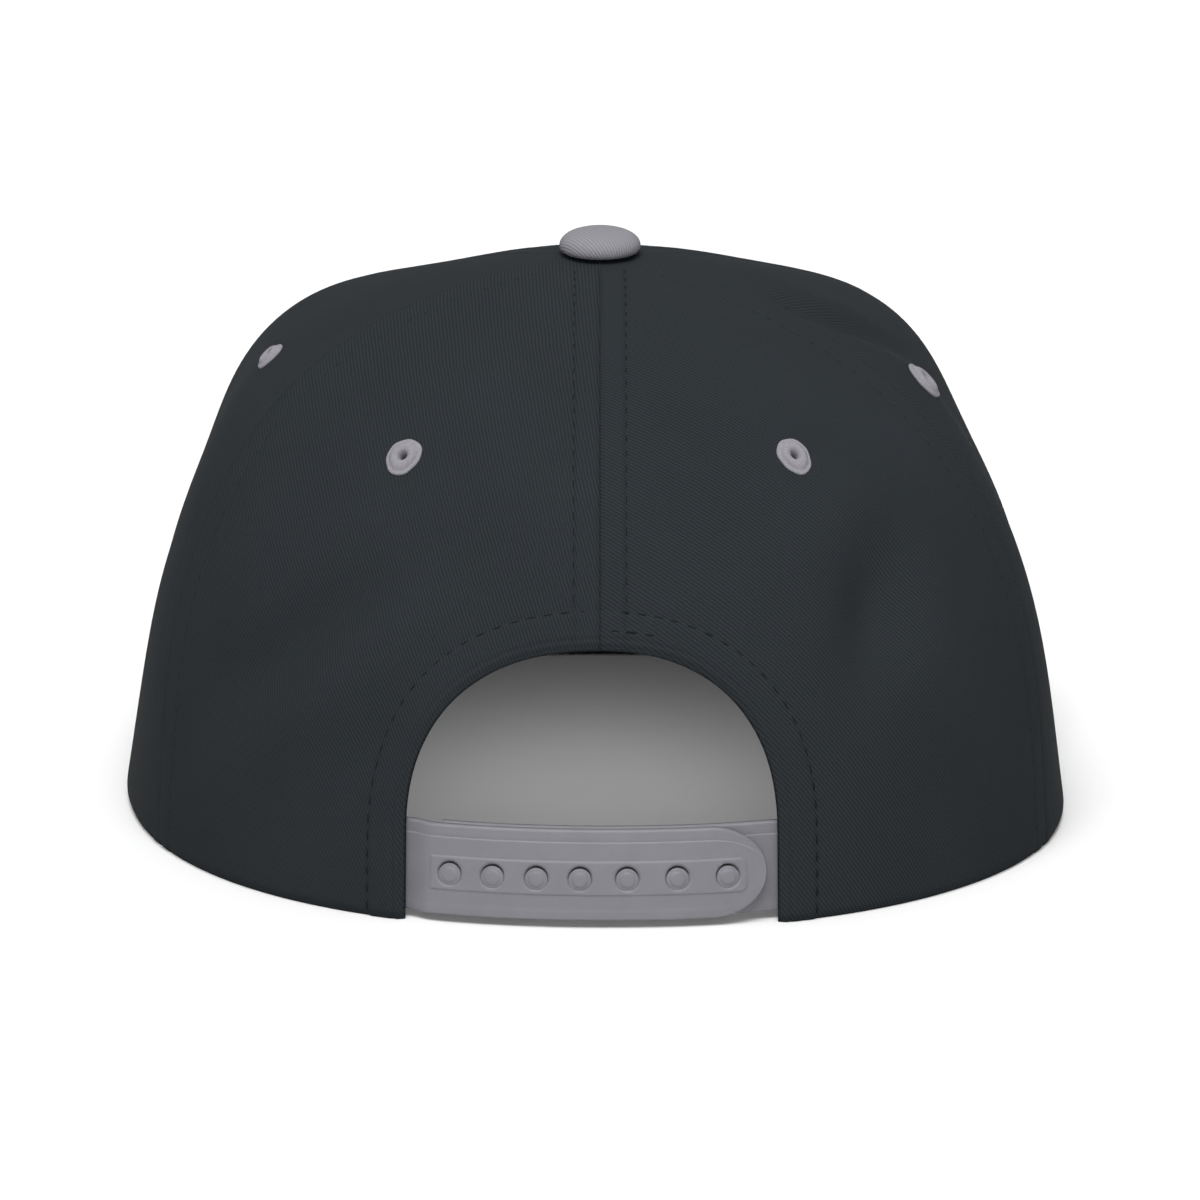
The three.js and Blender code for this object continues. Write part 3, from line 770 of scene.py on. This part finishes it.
def seat_matrix(azimuth, rise, inward=0.0):
    """The place of a piece on the crown: its x across, its y up and its z out of the cloth."""
    point, across, _, out = crown_places([azimuth], [rise], inward)
    up = np.cross(out[0], across[0])
    turn = Matrix([across[0], up, out[0]]).transposed().to_4x4()
    return Matrix.Translation(AXIS + Vector(point[0]) * MM) @ turn


def spun(outline, steps):
    """A turned bmesh in metres from an outline of radii and heights in millimetres."""
    bm = bmesh.new()
    verts = [bm.verts.new((radius * MM, 0, height * MM)) for radius, height in outline]
    edges = [bm.edges.new(pair) for pair in zip(verts, verts[1:])]
    bmesh.ops.spin(
        bm, geom=verts + edges, axis=(0, 0, 1), cent=(0, 0, 0), angle=2 * math.pi, steps=steps, use_merge=True
    )
    bmesh.ops.remove_doubles(bm, verts=bm.verts, dist=1e-6)
    bmesh.ops.recalc_face_normals(bm, faces=bm.faces)
    return bm


def make_eyelet(name, azimuth, rise, wide, high):
    """A ring of satin stitches round a small hole, a little uneven as the needle leaves it."""
    chance = random.Random(name)
    crest = [(1.0 + 2.35 * t, 0.35 + 0.75 * math.sin(math.pi * min(t * 1.15 + 0.12, 1)) ** 0.6)
             for t in np.linspace(0, 1, 12)]
    outline = [(EYELET_BORE, EYELET_SHANK), (EYELET_BORE, -0.4), (0.7, 0.1)] + crest
    outline += [(3.52, 0.12), (3.5, -0.15), (3.3, -0.3), (1.5, -0.3), (1.5, EYELET_SHANK)]
    outline += [(EYELET_BORE, EYELET_SHANK)]
    bm = spun(outline, 192)
    phases = [chance.uniform(0, 2 * math.pi) for _ in range(3)]
    for vert in bm.verts:
        radius = math.hypot(vert.co.x, vert.co.y)
        angle = math.atan2(vert.co.y, vert.co.x)
        lump = 0.045 * math.cos(2 * angle + phases[0]) + 0.03 * math.cos(3 * angle + phases[1])
        lump += 0.012 * math.cos(7 * angle + phases[2])
        strand = abs(math.sin(STRANDS * angle / 2 + 1.2 * math.sin(3 * angle)))
        if vert.co.z > 0:
            vert.co.z += 0.07 * MM * (strand - 0.6) * smooth(radius / MM, 0.9, 1.6)
        spread = 1 + lump * smooth(radius / MM, 1.5, 3.0) + 0.012 * (strand - 0.6)
        vert.co.x *= spread
        vert.co.y *= spread
    bm.transform(seat_matrix(azimuth, rise) @ Matrix.Diagonal((wide, high, 1, 1)))
    piece_of(bm, name + "_thread", GREY_THREAD, "grey_thread", name)


# Button

BUTTON_RADIUS = 7.6
BUTTON_DOME = 4.8
BUTTON_EDGE = 1.4


def button_outline():
    """Radii and heights from the top of the dome, round its edge and down the shank."""
    outline = []
    for angle in np.linspace(math.pi / 2, 0, 44):
        height = BUTTON_EDGE + (BUTTON_DOME - BUTTON_EDGE) * math.sin(angle) ** 0.9
        outline.append((BUTTON_RADIUS * math.cos(angle) ** 0.85, height))
    for angle in np.linspace(0, -math.pi / 2, 9)[1:]:
        outline.append((BUTTON_RADIUS - 1 + math.cos(angle), BUTTON_EDGE + 1.05 * math.sin(angle)))
    return outline + [(2.8, 0.35), (2.8, -2.6), (0, -2.6)]


def make_button():
    """A metal button under stretched twill, whose ribs gather into ridges down its side."""
    outline = np.array(button_outline())
    steps = np.linalg.norm(np.diff(outline, axis=0), axis=1)
    length = np.concatenate([[0], np.cumsum(steps)])
    bm = spun([(radius, height) for radius, height in outline], 224)
    layer = bm.loops.layers.uv.new("grain")
    for face in bm.faces:
        for loop in face.loops:
            flat = Vector((loop.vert.co.x, loop.vert.co.y))
            place = np.array((flat.length, loop.vert.co.z)) / MM
            arc = length[np.argmin(np.linalg.norm(outline - place, axis=1))]
            loop[layer].uv = flat.normalized() * arc * MM if arc > 0 else (0, 0)
    bm.transform(Matrix.Translation(AXIS + Vector((0, 0, CROWN_HEIGHT * MM))))
    piece_of(bm, "button_cloth", BUTTON_TWILL, "grey_twill", "button")


# Peak

PEAK_SPREAD = 70.0
PEAK_WIDTH = HALF_WIDTH - 2
PEAK_REACH = FRONT_DEPTH + 70
PEAK_CORNER = 1.5
PEAK_POWER = 2.5
PEAK_THICK = 3.4
PEAK_LIFT = 5.5
PEAK_LOW = 0.4
PEAK_ROW_CLEARANCE = 3
PEAK_ROWS = [4.0 + 6.5 * number for number in range(8)]


def level_points(azimuth, height, inward):
    """Places on the crown at a height, moved inward on the level."""
    azimuth, height = np.asarray(azimuth, float), np.asarray(height, float)
    points = crown_points(azimuth, rise_at_height(azimuth, height), inward)
    points[..., 2] = height
    return points


def peak_plan(across, out):
    """Places in the peak's plan: across from -1 to 1, out from 0 at the crown to 1 at the edge."""
    inner = level_points(180 + PEAK_SPREAD * across, np.full_like(across, PEAK_LOW), -1.5 * SEAM_GAP)
    corner = level_points(np.array([180 + PEAK_SPREAD]), np.array([PEAK_LOW]), 0)
    joint = PEAK_CORNER - corner[0, 1]
    angle = math.pi / 2 * across
    edge_x = PEAK_WIDTH * np.sign(across) * np.abs(np.sin(angle)) ** (2 / PEAK_POWER)
    edge_y = -joint - (PEAK_REACH - joint) * np.abs(np.cos(angle)) ** (2 / PEAK_POWER)
    return inner[:, 0] + (edge_x - inner[:, 0]) * out, inner[:, 1] + (edge_y - inner[:, 1]) * out


def peak_edge(count=600):
    """Places round the peak's outer edge, even in length, with the direction into the peak."""
    across = np.sin(np.linspace(-math.pi / 2, math.pi / 2, 4001))
    x, y = peak_plan(across, np.ones_like(across))
    length = np.concatenate([[0], np.cumsum(np.hypot(np.diff(x), np.diff(y)))])
    even = np.linspace(0, length[-1], count)
    x, y = np.interp(even, length, x), np.interp(even, length, y)
    step_x, step_y = np.gradient(x), np.gradient(y)
    size = np.hypot(step_x, step_y)
    inward = np.stack([-step_y / size, step_x / size], axis=1)
    inward *= np.sign(inward[count // 2, 1])
    return np.stack([x, y], axis=1), inward


PEAK_EDGE, PEAK_INWARD = peak_edge()


def from_peak_edge(x, y):
    """Distance from the peak's outer edge."""
    away = np.full(len(x), 1e3)
    for (start_x, start_y), (end_x, end_y) in zip(PEAK_EDGE, PEAK_EDGE[1:]):
        step_x, step_y = end_x - start_x, end_y - start_y
        share = ((x - start_x) * step_x + (y - start_y) * step_y) / (step_x**2 + step_y**2)
        share = np.clip(share, 0, 1)
        away = np.minimum(away, np.hypot(x - start_x - step_x * share, y - start_y - step_y * share))
    return away


def peak_form(mirrored, out, inner):
    """The arched board, rounded along its edge and pressed in along its stitched rows."""
    x, y = peak_plan(-mirrored, out)
    away = from_peak_edge(x, y)
    rows = sum(bump_at(away, row, 0.55) for row in PEAK_ROWS)
    welt = 0.3 * bump_at(away, 1.6, 1.3)
    drop = rounded(away, PEAK_THICK / 2) + 0.2 * rows - welt
    bend = PEAK_LIFT * (1 - (x / PEAK_WIDTH) ** 2) * (0.25 + 0.75 * out)
    z = PEAK_LOW + bend + np.where(inner, drop, PEAK_THICK - drop)
    return np.stack([x, y, np.maximum(z, 0.05)], axis=1)


def peak_grain(mirrored, out):
    return np.stack(peak_plan(-mirrored, out), axis=1)


def make_peak():
    """A stiff board in twill, its two cloths sewn to it in rows that follow the edge."""
    columns, rows = 220, 100
    across = np.sin(np.linspace(-math.pi / 2, math.pi / 2, columns + 1))
    out = 1 - (1 - np.linspace(0, 1, rows + 1)) ** 1.5
    bm = flat_pattern(columns, rows, lambda column, row: (across[column], out[row]))
    close_back(bm)
    lay(bm, peak_form, peak_grain)
    tree = BVHTree.FromBMesh(bm)
    piece_of(bm, "peak_cloth", GREY_TWILL, "grey_twill", "peak")
    return tree


def make_peak_stitches(tree):
    """Rows of thread on both faces of the peak, stopping short of the crown."""
    bm = bmesh.new()
    rim = level_points(np.linspace(90, 270, 181), np.full(181, PEAK_LOW), 0)[:, :2]
    for row in PEAK_ROWS:
        spots = PEAK_EDGE + PEAK_INWARD * row
        clear = np.array([np.hypot(*(rim - spot).T).min() > PEAK_ROW_CLEARANCE for spot in spots])
        clear &= from_peak_edge(spots[:, 0], spots[:, 1]) > row - 0.15
        clear &= np.hypot(spots[:, 0], spots[:, 1]) > FRONT_DEPTH
        for way in (1, -1):
            found = []
            for spot in spots[clear]:
                start = AXIS + Vector((spot[0], spot[1], 0)) * MM + Vector((0, 0, 0.1 * way))
                place, normal, _, _ = tree.ray_cast(start, Vector((0, 0, -way)))
                found.append((np.array(place - AXIS) / MM, np.array(normal)))
            points = np.array([place for place, _ in found])
            sew(bm, points, np.array([normal for _, normal in found]))
    piece_of(bm, "peak_stitches", GREY_THREAD, "grey_twill")


# Strap

STRAP_LOW = 1.5
STRAP_HEIGHT = 16.5
STRAP_THICK = 1.3
STRAP_MIDDLE = STRAP_LOW + STRAP_HEIGHT / 2
LIP_PROUD = 0.05
LIP_START = 1.4
LIP_END = 2.3
FACE_EDGE_ROUND = 0.4
HOLE_EDGE_ROUND = 0.5
STRAP_TUCK = 11.0
STRAP_BEND = 5.3
STRIP_MIDDLE = STRAP_MIDDLE - 0.5
STRIP_HEIGHT = 6.4
STRIP_PROUD = 0.18
OUTER_DEPTH = 1.3
ROUND_END = 10.5
HOLE_RADIUS = 2.1
TUCKED_DEPTH = 2.6
UNDER_DEPTH = 3.2
PEG_SAG = 0.15
PEG_SHARES = (0.064, 0.2, 0.338, 0.475, 0.623, 0.78, 0.938)
PEG_OUTLINE = ((0, 0.24), (0.8, 0.23), (1.1, 0.21), (1.28, 0.16), (1.4, 0.08), (1.5, 0.02), (1.65, 0),
               (2.0, -0.02), (2.11, -0.1), (2.11, -2.1), (0, -2.1))


def turn_of(arc):
    return np.degrees(arc / BACK_DEPTH)


def foot_arc(side):
    """How far round the crown from the centre back the arch's foot stands, in millimetres."""
    azimuth = np.zeros(1)
    for _ in range(TRIES):
        radius = meridian(azimuth, angle_at_height(azimuth, np.full(1, STRAP_MIDDLE)))[0]
        azimuth = side * np.degrees(np.arcsin(ARCH_HALF[side] / radius))
    return math.radians(azimuth[0]) * BACK_DEPTH


LEFT_FOOT, RIGHT_FOOT = foot_arc(-1), foot_arc(1)
OUTER_END = RIGHT_FOOT - 2
STRIP_START = LEFT_FOOT + 4.8
STRIP_END = OUTER_END - 3.8
PEG_ARCS = [STRIP_START + (STRIP_END - STRIP_START) * share for share in PEG_SHARES]


def strap_rows():
    """Shares of the half height, close together where the strap's face changes level."""
    half = STRAP_HEIGHT / 2
    near = np.array([-0.3, -0.2, -0.1, 0, 0.1, 0.2, 0.3])
    strip = STRIP_MIDDLE - STRAP_MIDDLE
    strip_low, strip_high = strip - STRIP_HEIGHT / 2, strip + STRIP_HEIGHT / 2
    lines = [line + near for line in (-half + 1.9, half - 1.9, strip_low, strip_high)]
    edge = half - np.array([0.03, 0.08, 0.16, 0.26, 0.4])
    return np.unique(np.concatenate([np.linspace(-half, half, 61), edge, -edge, *lines])) / half


def outer_stations():
    """Places along the outer half and the share of its height at each, down to its round end."""
    straight = np.arange(LEFT_FOOT - STRAP_TUCK, OUTER_END - ROUND_END, 0.27)
    turn = np.radians(np.linspace(0, 88, 60))
    arcs = np.concatenate([straight, OUTER_END - ROUND_END * (1 - np.sin(turn))])
    return arcs, np.concatenate([np.ones(len(straight)), np.cos(turn)])


def box_distance(x, y, width, height, corner):
    """Distance from a box with rounded corners: above nothing outside it, below nothing inside."""
    over_x, over_y = np.abs(x) - width / 2 + corner, np.abs(y) - height / 2 + corner
    outside = np.hypot(np.maximum(over_x, 0), np.maximum(over_y, 0))
    return outside + np.minimum(np.maximum(over_x, over_y), 0) - corner


def from_outline(arc, height, round_end):
    """Distance in from the strap's long edges and its round end."""
    half = STRAP_HEIGHT / 2
    up = np.abs(height - STRAP_MIDDLE)
    if not round_end:
        return half - up
    past = arc - (OUTER_END - ROUND_END)
    share = np.hypot(past / ROUND_END, up / half)
    return np.where(past > 0, np.hypot(past, up) * (1 / np.maximum(share, 1e-3) - 1), half - up)


def strap_face(arc, height, round_end):
    """How far the strap's moulded face stands proud: lips along the edges and the raised strip."""
    inside = from_outline(arc, height, round_end)
    proud = LIP_PROUD * (1 - smooth(inside, LIP_START, LIP_END)) - rounded(inside, FACE_EDGE_ROUND)
    if not round_end:
        return proud
    corner = np.where(arc > 0, 1.6, 0.3)
    strip_arc = arc - (STRIP_START + STRIP_END) / 2
    strip = box_distance(strip_arc, height - STRIP_MIDDLE, STRIP_END - STRIP_START, STRIP_HEIGHT, corner)
    proud += STRIP_PROUD * (1 - smooth(strip, -0.35, 0.05))
    for peg in PEG_ARCS:
        away = np.hypot(arc - peg, height - STRIP_MIDDLE) - HOLE_RADIUS
        proud -= rounded(away, HOLE_EDGE_ROUND)
    return proud


def open_peg_holes(bm):
    """Cuts a round hole through the pattern for each peg."""
    for peg in PEG_ARCS:
        centre = Vector((peg, STRIP_MIDDLE, 0))
        inside = [face for face in bm.faces if (face.calc_center_median() - centre).length < HOLE_RADIUS]
        bmesh.ops.delete(bm, geom=inside, context="FACES")
        for vert in bm.verts:
            away = vert.co - centre
            if away.length < HOLE_RADIUS * 1.3 and vert.is_boundary:
                vert.co = centre + away.normalized() * HOLE_RADIUS


def strap_plate(arcs, shares, depth_at, round_end):
    """A strap half as a closed plate that follows the rear rim at the depth of its face."""
    levels = strap_rows()

    def place(column, row):
        return arcs[column], STRAP_MIDDLE + levels[row] * shares[column] * STRAP_HEIGHT / 2

    def form(arc, height, inner):
        proud = strap_face(arc, height, round_end)
        return level_points(turn_of(arc), height, depth_at(arc) - np.where(inner, -STRAP_THICK, proud))

    bm = flat_pattern(len(arcs) - 1, len(levels) - 1, place)
    if round_end:
        open_peg_holes(bm)
    close_back(bm)
    lay(bm, form)
    return bm


def make_outer_strap():
    def depth_at(arc):
        return TUCKED_DEPTH + (OUTER_DEPTH - TUCKED_DEPTH) * smooth(arc, LEFT_FOOT, LEFT_FOOT + STRAP_BEND)

    bm = strap_plate(*outer_stations(), depth_at, True)
    piece_of(bm, "strap_outer_plastic", PLASTIC, "grey_plastic", "strap_outer")


def make_under_strap():
    """The half with the pegs, each a low disc on a wider foot that fills its hole."""
    def depth_at(arc):
        return UNDER_DEPTH + (TUCKED_DEPTH - UNDER_DEPTH) * smooth(arc, OUTER_END, RIGHT_FOOT + STRAP_BEND)

    arcs = np.linspace(PEG_ARCS[0] - 2.7, RIGHT_FOOT + STRAP_TUCK, 150)
    bm = strap_plate(arcs, np.ones(150), depth_at, False)
    for peg in PEG_ARCS:
        azimuth = turn_of(peg)
        rise = rise_at_height(np.array([azimuth]), np.array([STRIP_MIDDLE - PEG_SAG]))[0]
        pin = spun(PEG_OUTLINE, 40)
        pin.transform(seat_matrix(azimuth, rise, OUTER_DEPTH))
        join(bm, pin)
    piece_of(bm, "strap_under_plastic", PLASTIC, "grey_plastic", "strap_under")


# Sweatband

BAND_THICK = 1.2
BAND_LOW = 0.8
BAND_HEIGHT = 31.2
BAND_CLEARANCE = 0.8
BAND_INSET = 3.0
BAND_SETTLE = 18.0
BAND_STITCH_HEIGHT = 3.4
SOLID_PANEL = 2.0  # thickness of the solids' panels, behind which the band lies


def band_depth(arc):
    """The band lies close behind the panels and steps inwards over the strap ends."""
    end_depth = TUCKED_DEPTH + STRAP_THICK + BAND_CLEARANCE
    whole = 2 * math.pi * BACK_DEPTH
    past = np.minimum(arc - RIGHT_FOOT, whole + LEFT_FOOT - arc) - BAND_INSET
    settled = smooth(past, STRAP_TUCK, STRAP_TUCK + BAND_SETTLE)
    return end_depth + (SOLID_PANEL + BAND_CLEARANCE - end_depth) * settled


def band_form(arc, height, inner):
    """A soft band, rolled along both edges and drawn in along its stitching."""
    edge = np.minimum(height - BAND_LOW, BAND_LOW + BAND_HEIGHT - height)
    drawn = rounded(edge, BAND_THICK / 2) + 0.2 * bump_at(height, BAND_LOW + BAND_STITCH_HEIGHT, 0.5)
    depth = band_depth(arc) + np.where(inner, BAND_THICK - drawn, drawn)
    return level_points(turn_of(arc), height, depth)


def make_sweatband():
    arcs = np.linspace(RIGHT_FOOT + BAND_INSET, 2 * math.pi * BACK_DEPTH + LEFT_FOOT - BAND_INSET, 401)
    heights = BAND_LOW + BAND_HEIGHT * eased(36, 0.8)
    bm = flat_pattern(400, 36, lambda column, row: (arcs[column], heights[row]))
    close_back(bm)
    lay(bm, band_form, lambda arc, height: np.stack([arc, height], axis=1))
    piece_of(bm, "sweatband_tape", BAND_TAPE, "dark_tape", "sweatband")
    bm = bmesh.new()
    level = np.full(len(arcs), BAND_LOW + BAND_STITCH_HEIGHT)
    points = level_points(turn_of(arcs), level, band_depth(arcs) + BAND_THICK - 0.2)
    sew(bm, points, unit(-points * np.array([1, 1, 0])))
    piece_of(bm, "sweatband_stitches", DARK_THREAD_AND_PAINTED_PIT_SHADE, "dark_tape")


# Camera, light and floor

CAMERA_DISTANCE = 2.0
CAMERA_RISE = math.radians(17)
FOCAL_PIXELS = 10560
FRAME_PIXELS = 1200
RIM_PIXEL = 786


def make_camera():
    """A long lens behind the cap and a little above it."""
    data = bpy.data.cameras.new("camera")
    data.sensor_width = 36
    data.lens = FOCAL_PIXELS / FRAME_PIXELS * data.sensor_width
    data.clip_end = 20
    camera = bpy.data.objects.new("camera", data)
    bpy.context.scene.collection.objects.link(camera)
    away = Vector((0, math.cos(CAMERA_RISE), math.sin(CAMERA_RISE)))
    camera.location = AXIS + away * CAMERA_DISTANCE
    dip = CAMERA_RISE - math.atan((RIM_PIXEL - FRAME_PIXELS / 2) / FOCAL_PIXELS)
    camera.rotation_euler = (math.pi / 2 - dip, 0, math.pi)
    bpy.context.scene.camera = camera


def make_sun(name, strength, azimuth, elevation, width):
    """A soft far light from an azimuth, 0 on the peak's side and 180 on the camera's, and an elevation."""
    data = bpy.data.lights.new(name, "SUN")
    data.energy = strength * math.pi
    data.angle = math.radians(width)
    sun = bpy.data.objects.new(name, data)
    bpy.context.scene.collection.objects.link(sun)
    a, e = math.radians(azimuth), math.radians(elevation)
    back = Vector((math.sin(a) * math.cos(e), -math.cos(a) * math.cos(e), math.sin(e)))
    sun.rotation_euler = back.to_track_quat("Z", "Y").to_euler()


def make_lamp(name, power, place, width):
    """A round soft lamp that shines straight down."""
    data = bpy.data.lights.new(name, "AREA")
    data.shape = "DISK"
    data.energy = power
    data.size = width
    lamp = bpy.data.objects.new(name, data)
    lamp.location = AXIS + place
    bpy.context.scene.collection.objects.link(lamp)


def make_studio():
    """A plain white floor under a soft sky that is darker low down and to the sides."""
    scene = bpy.context.scene
    scene.view_settings.view_transform = "Standard"
    world = bpy.data.worlds.new("studio")
    scene.world = world
    world.use_nodes = True
    tree = world.node_tree
    sky = tree.nodes["Background"]
    sky.inputs["Strength"].default_value = 0.95
    ray = add_node(tree, "ShaderNodeTexCoord", {}, {}).outputs["Generated"]
    way = add_node(tree, "ShaderNodeSeparateXYZ", {}, {"Vector": ray})
    horizon, zenith, flank = (0.35, 0.35, 0.35, 1), (1, 1, 1, 1), (0.12, 0.12, 0.12, 1)
    side, height = way.outputs["X"], way.outputs["Z"]
    rising = add_node(tree, "ShaderNodeMix", {"data_type": "RGBA"}, {0: height, 6: horizon, 7: zenith})
    aside = add_node(tree, "ShaderNodeMath", {"operation": "MULTIPLY"}, {0: side, 1: side})
    add_node(
        tree,
        "ShaderNodeMix",
        {"data_type": "RGBA"},
        {0: aside, 6: rising.outputs[2], 7: flank},
        sky.inputs["Color"],
    )
    bm = bmesh.new()
    bmesh.ops.create_grid(bm, x_segments=1, y_segments=1, size=12)
    shader = {"Base Color": (0.66, 0.66, 0.66, 1), "Roughness": 0.9, "Specular IOR Level": 0.1}
    material, _, _ = new_material("white floor", shader)
    finished(bm, "floor", material)
    make_sun("key", 1.08, 172, 68, 40)
    make_sun("low fill", 0.27, 181, 16, 20)
    make_lamp("fill inside the crown", 0.0235, Vector((0, 0.004, 0.07)), 0.08)


make_camera()
make_studio()
for panel, (columns, rows) in {
    "back_panel_left": (230, 150),
    "back_panel_right": (230, 150),
    "side_panel_left": (90, 140),
    "side_panel_right": (90, 140),
    "front_panel": (180, 140),
}.items():
    make_panel(panel, columns, rows)
make_crown_stitches()
for name, seat in EYELETS.items():
    make_eyelet(name, *seat)
make_button()
make_peak_stitches(make_peak())
make_outer_strap()
make_under_strap()
make_sweatband()
